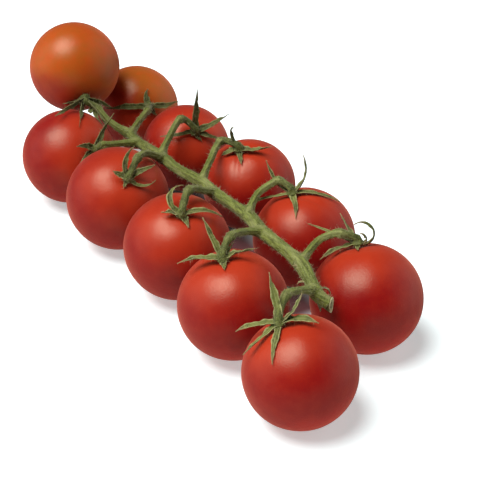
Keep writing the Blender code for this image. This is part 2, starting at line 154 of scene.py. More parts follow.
# One entry for each fruit, in order from the cut end.
#   centre     x, y and, for the fruit that doesn't lie on the surface, z
#   diameter   at its widest
#   lean       tilt of the stem axis from +Z, and the heading that it tilts towards
#   arm        route of the pedicel from the middle of the main stem to the knuckle
#   leaves     as if the fruit stood upright: heading, length, width, rise above level at the root
#              and at the tip, and turn of the heading on the way
FRUITS = (
    {
        "centre": (-13.5, -81.0),
        "diameter": 34.0,
        "lean": (22, 130),
        "arm": ((1.0, -64.6, 29.8), (-5.8, -67.6, 33.8), (-12.0, -70.0, 36.0)),
        "leaves": (
            (145, 13.5, 2.8, 30, -25, 0),
            (176, 14.0, 2.8, 5, -30, 0),
            (222, 14.0, 2.8, 0, -45, 0),
            (-45, 12.0, 3.4, 20, -45, 0),
            (48, 14.5, 3.4, 60, 65, 0),
            (-42, 12.5, 2.6, 25, 55, 0),
        ),
    },
    {
        "centre": (21.7, -61.8),
        "diameter": 35.0,
        "lean": (22, 88),
        "arm": ((1.5, -55.5, 33.4), (10.8, -49.6, 34.0), (15.0, -50.6, 36.0), (17.8, -52.2, 36.6)),
        "leaves": (
            (118, 17.0, 1.8, 20, 26, 15),
            (171, 13.0, 2.8, 10, -30, 0),
            (94, 11.0, 2.0, 45, 60, 0),
            (-32, 14.5, 2.2, -25, 215, 0),
            (241, 5.0, 1.8, -10, -50, 0),
        ),
    },
    {
        "centre": (-14.8, -44.3),
        "diameter": 34.5,
        "lean": (10, 150),
        "arm": ((1.2, -34.5, 32.2), (-6.0, -35.7, 35.3), (-13.0, -39.3, 38.0)),
        "leaves": (
            (152, 14.0, 3.4, 25, -20, 0),
            (94, 13.5, 2.6, 55, 60, 0),
            (245, 5.5, 2.6, 0, -60, 0),
            (-28, 10.5, 2.6, 25, -10, 0),
            (30, 7.0, 2.4, 20, 0, 0),
        ),
    },
    {
        "centre": (22.8, -23.9),
        "diameter": 33.6,
        "lean": (15, 130),
        "arm": ((1.4, -24.5, 32.4), (9.0, -17.2, 33.5), (15.3, -15.8, 35.0), (17.6, -16.2, 35.6)),
        "leaves": (
            (-18, 14.0, 2.8, 25, 100, 0),
            (100, 14.5, 2.2, 10, 85, 0),
            (-33, 16.0, 2.2, 0, -50, 0),
            (240, 11.5, 2.6, 0, -50, 0),
            (160, 16.0, 1.6, 6, -4, 0),
        ),
    },
    {
        "centre": (-15.5, -9.0),
        "diameter": 35.0,
        "lean": (20, -102),
        "arm": ((0.5, -4.5, 30.0), (-5.0, -7.3, 34.0), (-11.8, -10.5, 38.0)),
        "leaves": (
            (155, 6.5, 3.2, 25, -20, 0),
            (-90, 5.5, 2.8, 0, -40, 0),
            (-25, 14.0, 2.4, 25, -45, 0),
            (155, 14.0, 2.6, 35, -10, -190),
            (40, 6.0, 2.4, 20, 0, 0),
        ),
    },
    {
        "centre": (23.7, 13.6),
        "diameter": 32.4,
        "lean": (15, -175),
        "arm": ((0.2, 4.0, 29.4), (7.0, 11.0, 31.0), (15.3, 18.4, 33.0)),
        "leaves": (
            (100, 12.0, 2.0, 50, 150, 0),
            (-40, 11.5, 3.0, 0, 0, 0),
            (-115, 7.0, 2.4, -15, -60, 0),
            (160, 6.5, 3.0, 20, -40, 0),
            (60, 5.0, 2.4, 0, -30, 0),
        ),
    },
    {
        "centre": (-20.0, 26.1),
        "diameter": 35.0,
        "lean": (37, -93),
        "arm": ((-2.1, 26.5, 27.0), (-9.7, 23.6, 32.8), (-15.3, 18.9, 35.2)),
        "leaves": (
            (145, 6.0, 3.2, 35, 0, 0),
            (120, 12.0, 2.6, 55, 20, -110),
            (0, 10.0, 2.6, 25, 30, 0),
            (-65, 10.5, 1.8, -5, 5, 90),
            (-135, 4.0, 2.2, 0, -40, 0),
        ),
    },
    {
        "centre": (16.5, 46.5),
        "diameter": 31.5,
        "lean": (39, -98),
        "arm": ((-2.4, 28.5, 27.0), (3.0, 33.7, 29.0), (10.5, 38.0, 33.2)),
        "leaves": (
            (76, 16.5, 3.2, 50, 55, 0),
            (-5, 14.5, 3.0, 25, 60, 0),
            (-38, 9.5, 2.4, 15, -20, 0),
            (-75, 4.5, 2.4, -10, -40, 0),
            (165, 12.5, 2.0, 5, -30, 0),
        ),
    },
    {
        "centre": (-22.7, 60.5),
        "diameter": 33.3,
        "lean": (59, -74),
        "arm": ((-4.0, 42.0, 26.1), (-12.0, 42.8, 27.3), (-16.8, 44.0, 27.5)),
        "leaves": (
            (55, 14.5, 2.8, 10, 20, 0),
            (150, 8.0, 3.0, 30, -20, 35),
            (-150, 7.5, 2.6, 10, -20, 0),
            (10, 7.0, 2.6, 5, 0, 0),
            (-110, 4.0, 2.6, 5, -30, 0),
        ),
    },
    {
        "centre": (14.0, 82.0),
        "diameter": 31.5,
        "lean": (61, -97),
        "arm": ((-4.6, 47.5, 26.4), (2.3, 55.0, 26.0), (8.4, 60.6, 26.0)),
        "leaves": (
            (165, 16.0, 3.0, 5, -35, 0),
            (90, 7.5, 3.0, 20, -60, -60),
            (-9, 11.5, 3.0, 5, 0, 0),
            (-127, 4.0, 2.4, 5, -30, 0),
            (-62, 5.0, 2.4, 5, -30, 0),
        ),
    },
    {
        "centre": (-9.5, 82.0, 38.5),
        "diameter": 32.4,
        "lean": (106, -102),
        "arm": ((-4.6, 48.3, 26.4), (-7.4, 52.8, 28.0), (-8.8, 57.3, 29.0), (-9.9, 62.6, 31.0)),
        "leaves": (
            (150, 17.0, 2.8, 38, 38, 0),
            (195, 16.0, 2.6, 62, 66, 0),
            (-10, 14.0, 1.6, 70, 74, 0),
            (-30, 10.0, 3.0, 25, 15, 0),
            (190, 8.5, 2.8, 0, -30, 0),
            (-110, 7.0, 2.6, 0, -60, 0),
        ),
    },
)

# Withered scraps and green scales on the stem and its pedicels: where each is rooted, its shape
# as for a leaf of a calyx, and its material, 0 withered or 1 green
BRACTS = (
    ((1.4, -66.0, 27.2), (-30, 4.8, 3.4, -60, -100, 0), 0),
    ((1.4, -65.6, 30.6), (-30, 6.5, 1.0, 30, -120, 0), 0),
    ((-0.6, -61.6, 31.6), (150, 2.6, 1.4, 0, -60, 0), 0),
    ((0.2, -57.2, 34.0), (150, 2.0, 1.1, 20, -30, 0), 0),
    ((23.2, -56.0, 33.2), (-30, 5.2, 2.6, 40, 175, 0), 0),
    ((-10.6, 63.0, 31.0), (-112, 8.0, 2.6, -20, -55, 0), 1),
    ((-9.8, 60.5, 30.2), (-88, 6.0, 2.2, -35, -50, 0), 1),
    ((-10.4, 64.0, 31.6), (-150, 6.5, 2.4, -10, -70, 0), 1),
)

# The cut end: the way its face looks, its squash sideways, and its profile from the root outwards
# and into the hollow: radius, height, and 0 on the bark, 1 on the rim and 2 in the hollow
CUT_FACE = (0.60, -0.80, 0.0)
CUT_SQUASH = 0.6
CUT_UNEVEN = (0.04, 0.025)  # of the coarser and the finer waves of its rim
CUT_PROFILE = (
    (1.4, -2.4, 0.0),
    (2.0, -1.5, 0.0),
    (2.4, -0.7, 0.0),
    (2.6, -0.1, 0.0),
    (2.7, 0.15, 0.6),
    (2.55, 0.3, 1.0),
    (2.25, 0.3, 1.0),
    (1.95, 0.15, 1.1),
    (1.7, -0.2, 1.5),
    (1.3, -0.6, 2.0),
    (0.5, -0.9, 2.0),
)


def skin_radius(angle):
    """The fruit's radius over its largest one, at an angle in radians from the stem axis."""
    flattened = 1 / math.hypot(math.sin(angle), math.cos(angle) / POLE_HEIGHT)
    return flattened - DIMPLE_DEPTH * math.exp(-((angle / DIMPLE_ANGLE) ** 2))


def leaning(fruit):
    """The rotation that tips a fruit over from upright, its stem axis along +Z, towards its heading."""
    tilt, heading = (math.radians(a) for a in fruit["lean"])
    return Matrix.Rotation(tilt, 3, Vector((-math.sin(heading), math.cos(heading), 0)))


def centre_of(fruit):
    """A fruit that lies on the surface has its flat spot in it."""
    x, y, *z = fruit["centre"]
    if z:
        return Vector((x, y, z[0]))
    tilt = math.radians(fruit["lean"][0])
    angles = (math.radians(a) for a in range(181))
    reach = fruit["diameter"] / 2 * max(-math.cos(a + tilt) * skin_radius(a) for a in angles)
    return Vector((x, y, reach - PRESS))


# Each fruit's centre, the direction of its stem axis, and its largest radius
BALLS = [(centre_of(f), leaning(f) @ Vector((0, 0, 1)), f["diameter"] / 2) for f in FRUITS]


def smooth_route(points, step):
    """Points about a step apart on a Catmull-Rom curve through the given ones, radius carried along."""
    ends = [2 * points[0] - points[1], *points, 2 * points[-1] - points[-2]]
    route = []
    for a, b, c, d in zip(ends, ends[1:], ends[2:], ends[3:]):
        count = max(1, round((c - b).length / step))
        for i in range(count):
            t = i / count
            square = (2 * a - 5 * b + 4 * c - d) * t**2
            cube = (3 * b - a - 3 * c + d) * t**3
            route.append(0.5 * (2 * b + (c - a) * t + square + cube))
    return [*route, points[-1]]


def knuckle_swell(distance):
    """The pedicel's radius at a distance from the knuckle."""
    fade = max(0.0, 1 - abs(distance) / KNUCKLE_REACH)
    return PEDICEL_RADIUS + (KNUCKLE_RADIUS - PEDICEL_RADIUS) * math.sin(fade * math.pi / 2)


def button_middle(index):
    """The middle of the calyx's button, just clear of the bottom of the dimple."""
    centre, axis, radius = BALLS[index]
    return centre + axis * (radius * skin_radius(0) + GAP + BUTTON_HEIGHT)


def pedicel_routes(index):
    """The pedicel's two tubes, up to the knuckle and on to the button, as lists of points and radii."""
    arm = [Vector(p) for p in FRUITS[index]["arm"]]
    knuckle = arm[-1]
    seat = button_middle(index)
    route = smooth_route([*arm, seat + BALLS[index][1] * NECK_RISE, seat], ROUTE_STEP)
    at = route.index(knuckle)
    lap = (route[at + 1] - route[at - 1]).normalized() * KNUCKLE_LAP
    inner, outer = [*route[:at], knuckle + lap], [knuckle - lap, *route[at + 1 :]]
    root = inner[0]
    flare = [ROOT_FLARE * math.exp(-(((p - root).length / ROOT_REACH) ** 2)) for p in inner]
    inner_radii = [knuckle_swell((p - knuckle).length) + extra for p, extra in zip(inner, flare)]
    outer_radii = [knuckle_swell((p - knuckle).length) for p in outer]
    for k, share in NECK_FLARE:
        outer_radii[k] += (NECK_RADIUS - PEDICEL_RADIUS) * share
    return (inner, inner_radii), (outer, outer_radii)


def clear_of_fruit(point, clearance):
    """The point, moved straight out of any fruit whose skin is nearer than the clearance."""
    for centre, axis, radius in BALLS:
        offset = point - centre
        if offset.length < radius + clearance:
            least = radius * skin_radius(offset.angle(axis)) + clearance
            if offset.length < least:
                point = centre + offset.normalized() * least
    return point


def mesh_of(name, shell):
    """Turns a bmesh into a mesh with this name, and frees it."""
    mesh = bpy.data.meshes.new(name)
    shell.to_mesh(mesh)
    shell.free()
    return mesh


def new_object(name, mesh, materials):
    obj = bpy.data.objects.new(name, mesh)
    bpy.context.scene.collection.objects.link(obj)
    for material in materials:
        mesh.materials.append(material)
    return obj


def add_attribute(mesh, name, kind, field, values):
    values = np.array(values, np.float32).ravel()
    mesh.attributes.new(name, kind, "POINT").data.foreach_set(field, values)


# ---------------------------------------------------------------- materials


class Shader:
    """A short way to wire up a procedural Principled material."""

    def __init__(self, name, **uniform):
        self.material = bpy.data.materials.new(name)
        self.material.use_nodes = True
        self.tree = self.material.node_tree
        self.bsdf = self.tree.nodes["Principled BSDF"]
        for key, value in uniform.items():
            self.bsdf.inputs[key.replace("_", " ")].default_value = value

    def node(self, kind, inputs=None, **settings):
        made = self.tree.nodes.new(kind)
        for key, value in settings.items():
            setattr(made, key, value)
        for key, value in (inputs or {}).items():
            self.set(made.inputs[key], value)
        return made

    def set(self, socket, value):
        if isinstance(value, bpy.types.NodeSocket):
            self.tree.links.new(value, socket)
        elif isinstance(value, tuple) and len(value) == 3 and socket.type == "RGBA":
            socket.default_value = (*value, 1.0)
        else:
            socket.default_value = value

    def math(self, operation, a, b=0.0):
        return self.node("ShaderNodeMath", {0: a, 1: b}, operation=operation).outputs[0]

    def times(self, value, factor):
        return self.math("MULTIPLY", value, factor)

    def about_zero(self, value, reach):
        """A noise's value, moved to lie evenly round zero and stretched by its reach."""
        return self.times(self.math("SUBTRACT", value, 0.5), reach)

    def noise(self, vector, scale, detail=2.0, roughness=0.5):
        inputs = {"Vector": vector, "Scale": scale, "Detail": detail, "Roughness": roughness}
        return self.node("ShaderNodeTexNoise", inputs).outputs["Fac"]

    def attribute(self, name, output="Vector"):
        return self.node("ShaderNodeAttribute", attribute_name=name).outputs[output]

    def object_place(self):
        return self.node("ShaderNodeTexCoord").outputs["Object"]

    def split(self, vector):
        return self.node("ShaderNodeSeparateXYZ", {0: vector}).outputs

    def fade(self, value, low, high):
        """0 below low, 1 above high, smooth between them."""
        inputs = {"Value": value, "From Min": low, "From Max": high}
        return self.node("ShaderNodeMapRange", inputs, interpolation_type="SMOOTHSTEP").outputs["Result"]

    def mix(self, factor, a, b):
        made = self.node("ShaderNodeMix", data_type="RGBA")
        for socket, value in zip((made.inputs[0], made.inputs[6], made.inputs[7]), (factor, a, b)):
            self.set(socket, value)
        return made.outputs[2]

    def painted_shade_to_tip(self):
        """Painted shade towards the far end: 0 over the half of the truss by the cut end, rising to 1
        near its tip.
        """
        return self.fade(self.split(self.object_place())[1], -0.02, 0.06)

    def scaled(self, vector, scale, offset=(0, 0, 0)):
        inputs = {"Vector": vector, "Scale": scale, "Location": offset}
        return self.node("ShaderNodeMapping", inputs).outputs[0]

    def bump(self, height, strength, distance, normal=None):
        inputs = {"Height": height, "Strength": strength, "Distance": distance}
        if normal:
            inputs["Normal"] = normal
        return self.node("ShaderNodeBump", inputs).outputs[0]


def fruit_skin(name, seed, body, shoulder, tip, unripe=None):
    """Waxy skin: shoulder colour round the stem end, tip colour at the far end, body colour between them,
    and faint flecks. The tip colour is a brighter red, partly the fruit's own and partly painted bounce
    light on its underside.

    The mesh carries each point's way from the centre, in the fruit's own frame. unripe is the colour
    of the side that hasn't turned, the direction that it faces in that frame, and where it fades in.
    """
    s = Shader(
        name,
        Roughness=0.33,
        Specular_IOR_Level=0.40,
        Specular_Tint=(1.0, 0.92, 0.70, 1.0),
        Sheen_Weight=0.50,
        Sheen_Roughness=0.45,
        Sheen_Tint=(1.0, 0.30, 0.20, 1.0),
    )
    way = s.attribute("way")
    moved = s.scaled(way, (1, 1, 1), (seed * 3.1, seed * 1.7, seed * 2.3))
    cloud = s.noise(moved, 1.6, 3.0)
    height = s.split(way)[2]
    wavy = s.math("ADD", height, s.about_zero(cloud, 0.5))
    # The far end's colour: partly its own red, partly painted bounce light that lifts the undersides.
    colour = s.mix(s.fade(wavy, -0.95, -0.10), tip, body)
    colour = s.mix(s.fade(wavy, 0.30, 1.05), colour, shoulder)
    blotch = s.fade(s.noise(moved, 5.0, 4.0, 0.6), 0.35, 0.75)
    colour = s.mix(s.times(blotch, 0.16), colour, shoulder)
    if unripe:
        hue, direction, edges = unripe
        facing = s.node("ShaderNodeVectorMath", {0: way, 1: direction}, operation="DOT_PRODUCT")
        facing = s.math("ADD", facing.outputs["Value"], s.about_zero(cloud, 0.6))
        least_ripe = tuple(c * k for c, k in zip(hue, OLIVE))
        hue = s.mix(s.fade(s.noise(moved, 3.5, 3.0, 0.6), 0.3, 0.7), hue, least_ripe)
        colour = s.mix(s.fade(facing, *edges), colour, hue)
    fleck = s.fade(s.noise(moved, PORE_SCALE, 1.0), 0.62, 0.78)
    colour = s.mix(s.times(fleck, 0.10), colour, FLECK)
    beyond_scar = s.fade(height, -0.9985, -0.9965)
    colour = s.mix(beyond_scar, SCAR, colour)
    s.set(s.bsdf.inputs["Base Color"], colour)
    pores = s.bump(s.noise(moved, PORE_SCALE, 2.0, 0.6), 0.15, 0.0005)
    lumps = s.bump(s.noise(moved, 4.5, 1.0), 0.05, 0.0015, pores)
    s.set(s.bsdf.inputs["Normal"], lumps)
    return s.material


def stem_skin(name, dark, light, pale):
    """Green bark with streaks along the grain, which the mesh carries as millimetres along and round."""
    s = Shader(name, Roughness=0.6, Specular_IOR_Level=0.22, Sheen_Weight=0.08, Sheen_Roughness=0.5)
    grain = s.attribute("grain")
    streak = s.noise(s.scaled(grain, (0.28, 2.1, 2.1)), 1.0, 4.0, 0.62)
    patch = s.noise(s.scaled(grain, (0.10, 0.35, 0.35), (7, 3, 5)), 1.0, 3.0, 0.6)
    colour = s.mix(s.fade(streak, 0.34, 0.66), dark, light)
    colour = s.mix(s.times(s.fade(patch, 0.45, 0.75), 0.45), colour, pale)
    bright = s.fade(s.noise(grain, 2.9, 3.0, 0.7), 0.55, 0.70)
    colour = s.mix(s.times(bright, 0.65), colour, pale)
    speck = s.fade(s.noise(s.scaled(grain, (1, 1, 1), (3, 9, 2)), 2.2, 3.0, 0.6), 0.57, 0.70)
    colour = s.mix(s.times(speck, 0.6), colour, dark)
    # Painted shade: the bark darkens towards the truss's tip.
    colour = s.mix(s.times(s.painted_shade_to_tip(), 0.4), colour, dark)
    s.set(s.bsdf.inputs["Base Color"], colour)
    ribs = s.bump(streak, 0.5, 0.0004)
    s.set(s.bsdf.inputs["Normal"], s.bump(s.noise(grain, 5.0, 3.0), 0.35, 0.0002, ribs))
    return s.material


def leaf_skin(name, blade, pale, dry):
    """A sepal with pale margins and midrib, and a dried tip.

    The UV map runs across the blade, 0 to 1 on its upper face and 1 to 2 on its lower one, and along it.
    """
    s = Shader(name, Roughness=0.62, Specular_IOR_Level=0.25, Sheen_Weight=0.06, Sheen_Roughness=0.5)
    uv = s.node("ShaderNodeUVMap", uv_map="blade").outputs["UV"]
    across, along, _ = s.split(uv)
    under = s.fade(across, 0.99, 1.01)
    side = s.math("ABSOLUTE", s.math("SUBTRACT", s.times(s.math("FRACT", across), 2.0), 1.0))
    place = s.object_place()
    mottle = s.noise(place, 900.0, 3.0, 0.6)
    veins = s.noise(s.scaled(uv, (14.0, 1.6, 1.0)), 1.0, 2.0)
    dark = tuple(c * BLADE_SHADE for c in blade)
    tone = s.math("ADD", mottle, s.about_zero(s.noise(place, 140.0, 2.0), 1.1))
    colour = s.mix(s.fade(tone, 0.30, 0.66), dark, blade)
    colour = s.mix(s.times(s.fade(veins, 0.5, 0.7), 0.35), colour, pale)
    rim = s.math("ADD", side, s.about_zero(mottle, 0.7))
    colour = s.mix(s.times(s.fade(rim, 0.62, 0.95), 0.8), colour, pale)
    midrib = s.math("SUBTRACT", 1.0, s.fade(side, 0.03, 0.16))
    colour = s.mix(s.times(midrib, 0.4), colour, pale)
    colour = s.mix(s.times(under, 0.45), colour, dark)
    tip = s.math("ADD", along, s.about_zero(mottle, 0.35))
    colour = s.mix(s.times(s.fade(tip, 0.72, 1.0), 0.85), colour, dry)
    # Painted shade: the sepals darken towards the truss's tip.
    colour = s.mix(s.times(s.painted_shade_to_tip(), 0.5), colour, dark)
    s.set(s.bsdf.inputs["Base Color"], colour)
    s.set(s.bsdf.inputs["Normal"], s.bump(s.math("ADD", veins, mottle), 0.5, 0.0003))
    return s.material


def cut_skin(name, bark, rim, hollow):
    """The cut end: bark outside, a pale rim, and a dark dried hollow."""
    s = Shader(name, Roughness=0.7, Specular_IOR_Level=0.3)
    mottle = s.noise(s.object_place(), 1400.0, 3.0, 0.6)
    depth = s.math("ADD", s.attribute("depth", "Fac"), s.about_zero(mottle, 0.5))
    colour = s.mix(s.fade(depth, 0.1, 0.8), bark, rim)
    colour = s.mix(s.fade(depth, 1.2, 1.9), colour, hollow)
    s.set(s.bsdf.inputs["Base Color"], colour)
    s.set(s.bsdf.inputs["Normal"], s.bump(mottle, 0.6, 0.0003))
    return s.material


def hair_skin(name, colour):
    s = Shader(name, Roughness=0.5, Specular_IOR_Level=0.4)
    tint = s.noise(s.object_place(), 300.0, 1.0)
    s.set(s.bsdf.inputs["Base Color"], s.mix(tint, colour, tuple(c * HAIR_SHADE for c in colour)))
    return s.material


def floor_paint(name):
    """A plain pale floor, with deep red shade in the gap between the rows.

    The slight glow keeps the shadows light. The places of the shade are in metres.
    """
    s = Shader(name, Roughness=0.9, Specular_IOR_Level=0.0, Emission_Strength=FLOOR_GLOW)
    place = s.object_place()
    x, y, _ = s.split(place)
    pale = s.mix(s.noise(place, 3.0), (0.84, 0.93, 0.93), (0.86, 0.95, 0.95))
    between = s.math("SUBTRACT", s.fade(x, -0.002, 0.004), s.fade(x, 0.016, 0.029))
    along = s.math("SUBTRACT", s.fade(y, -0.048, -0.038), s.fade(y, 0.044, 0.074))
    shade = s.times(s.times(between, along), 0.96)
    s.set(s.bsdf.inputs["Base Color"], s.mix(shade, pale, (0.11, 0.005, 0.007)))
    s.set(s.bsdf.inputs["Emission Color"], s.mix(shade, (0.90, 1.0, 1.0), (0.0, 0.0, 0.0)))
    return s.material


# ---------------------------------------------------------------- fruit


def way_out(angle, turn):
    """The direction from a fruit's centre, in its own frame, at an angle from the stem axis."""
    return Vector((math.sin(angle) * math.cos(turn), math.sin(angle) * math.sin(turn), math.cos(angle)))


def fruit_shape(angle, turn, look, seed):
    """The skin's radius over the largest one, with the shoulders' lobes, grooves and unevenness."""
    radius = skin_radius(angle)
    shoulder = math.exp(-(((angle - SHOULDER_ANGLE) / SHOULDER_SPREAD) ** 2))
    radius += SHOULDER_DEPTH * shoulder * (math.cos(SHOULDER_LOBES * turn + seed) - 1) / 2
    for heading, depth, reach in look["grooves"]:
        away = math.remainder(turn - math.radians(heading), 2 * math.pi)
        fade = math.exp(-((angle / reach) ** 2)) * (1 - math.exp(-((angle / GROOVE_START) ** 2)))
        radius -= depth * fade * math.exp(-((away * math.sin(angle) / GROOVE_WIDTH) ** 2))
    radius -= SCAR_DEPTH * math.exp(-(((math.pi - angle) / SCAR_ANGLE) ** 2))
    drift = Vector((seed, 2 * seed, 0))
    radius += UNEVEN_DEPTH * noise.noise(way_out(angle, turn) * UNEVEN_SCALE + drift)
    return radius * look["shrink"]


def make_fruit(index, material, look):
    """A fine ball, flat where the fruit lies on the surface. Each point keeps its way from the centre."""
    centre, _, size = BALLS[index]
    turned = leaning(FRUITS[index])
    ball = bmesh.new()
    ways = []

    def skin_point(angle, turn):
        way = way_out(angle, turn)
        point = (centre + turned @ way * size * fruit_shape(angle, turn, look, index + 1)) * MM
        point.z = max(point.z, 0.0)
        ways.append(way)
        return ball.verts.new(point)

    turns = [2 * math.pi * k / FRUIT_SEGMENTS for k in range(FRUIT_SEGMENTS)]
    angles = [math.pi * i / FRUIT_RINGS for i in range(1, FRUIT_RINGS)]
    rings = [[skin_point(angle, turn) for turn in turns] for angle in angles]
    for a, b in zip(rings, rings[1:]):
        for k in range(FRUIT_SEGMENTS):
            n = (k + 1) % FRUIT_SEGMENTS
            ball.faces.new((a[k], b[k], b[n], a[n]))
    for ring, angle, order in ((rings[0], 0.0, 1), (rings[-1], math.pi, -1)):
        pole = skin_point(angle, 0.0)
        for k in range(FRUIT_SEGMENTS):
            ball.faces.new((pole, ring[k], ring[(k + 1) % FRUIT_SEGMENTS])[::order])
    mesh = mesh_of(f"tomato_skin_{index + 1:02d}", ball)
    add_attribute(mesh, "way", "FLOAT_VECTOR", "vector", ways)
    mesh.shade_smooth()
    return new_object(mesh.name, mesh, [material])


# ---------------------------------------------------------------- stem and pedicels


def add_tube(shell, route, radii, sides):
    """Adds a closed round tube to a bmesh."""
    across = None
    rings = []
    for i, (point, radius) in enumerate(zip(route, radii)):
        ahead = route[min(i + 1, len(route) - 1)] - route[max(i - 1, 0)]
        ahead.normalize()
        if across is None:
            across = ahead.cross(Vector((0, 0, 1))).normalized()
        across = (across - ahead * across.dot(ahead)).normalized()
        up = across.cross(ahead)
        ring = []
        for k in range(sides):
            turn = 2 * math.pi * k / sides
            offset = across * math.cos(turn) + up * math.sin(turn)
            ring.append(shell.verts.new((point + offset * radius) * MM))
        rings.append(ring)
    for a, b in zip(rings, rings[1:]):
        for k in range(sides):
            n = (k + 1) % sides
            shell.faces.new((a[k], a[n], b[n], b[k]))
    shell.faces.new(rings[0][::-1])
    shell.faces.new(rings[-1])


def fused(name, shell, voxel):
    """Fuses the overlapping closed shells of a bmesh into one smooth skin, and returns its mesh."""
    bmesh.ops.recalc_face_normals(shell, faces=shell.faces)
    mesh = mesh_of(name, shell)
    obj = bpy.data.objects.new(name, mesh)
    bpy.context.scene.collection.objects.link(obj)
    remesh = obj.modifiers.new("Fuse", "REMESH")
    remesh.mode = "VOXEL"
    remesh.voxel_size = voxel * MM
    relax = obj.modifiers.new("Relax", "SMOOTH")
    relax.factor = 0.5
    relax.iterations = 3
    bpy.context.view_layer.update()
    graph = bpy.context.evaluated_depsgraph_get()
    skin = bpy.data.meshes.new_from_object(obj.evaluated_get(graph))
    bpy.data.objects.remove(obj)
    bpy.data.meshes.remove(mesh)
    skin.name = name
    return skin


def add_grain(mesh, routes, ridge):
    """Stores millimetres along and round the nearest route at each point, and raises ridges and lumps."""
    marks = []
    for route in routes:
        along = 0.0
        for a, b in zip(route, route[1:]):
            marks.append((a, (b - a).normalized(), along))
            along += (b - a).length
    tree = KDTree(len(marks))
    for i, mark in enumerate(marks):
        tree.insert(mark[0], i)
    tree.balance()
    grain = np.empty((len(mesh.vertices), 3), np.float32)
    moved = np.empty((len(mesh.vertices), 3), np.float32)
    for i, vert in enumerate(mesh.vertices):
        point = vert.co / MM
        start, ahead, along = marks[tree.find(point)[1]]
        offset = point - start
        reach = offset.dot(ahead)
        offset -= ahead * reach
        flat = ahead.cross(Vector((0, 0, 1))).normalized()
        up = flat.cross(ahead)
        turn = math.atan2(offset.dot(up), offset.dot(flat))
        grain[i] = (along + reach, math.cos(turn) * offset.length, math.sin(turn) * offset.length)
        wave = math.cos(RIDGE_COUNT * turn + RIDGE_TURN * (along + reach))
        lump = noise.noise(point * LUMP_SCALE) * LUMP_HEIGHT
        moved[i] = (point + vert.normal * (ridge * wave + lump)) * MM
    mesh.vertices.foreach_set("co", moved.ravel())
    add_attribute(mesh, "grain", "FLOAT_VECTOR", "vector", grain)
    mesh.shade_smooth()
    mesh.update()


def make_stem(material):
    """The main stem with the near half of each pedicel."""
    shell = bmesh.new()
    route = smooth_route([Vector(p) for p in RACHIS], ROUTE_STEP)
    main = [p.xyz for p in route]
    cut = main[0]
    slim = [SLIM + (CUT_SLIM - SLIM) * math.exp(-(((p - cut).length / SLIM_FROM) ** 2)) for p in main]
    add_tube(shell, main[1:], [p.w * k for p, k in zip(route[1:], slim[1:])], TUBE_SIDES)
    routes = [main]
    for index in range(len(FRUITS)):
        (inner, radii), _ = pedicel_routes(index)
        add_tube(shell, inner, radii, PEDICEL_SIDES)
        routes.append(inner)
    mesh = fused("stem_skin", shell, STEM_VOXEL)
    add_grain(mesh, routes, RIDGE_HEIGHT)
    return new_object("stem_skin", mesh, [material])


# ---------------------------------------------------------------- calyx


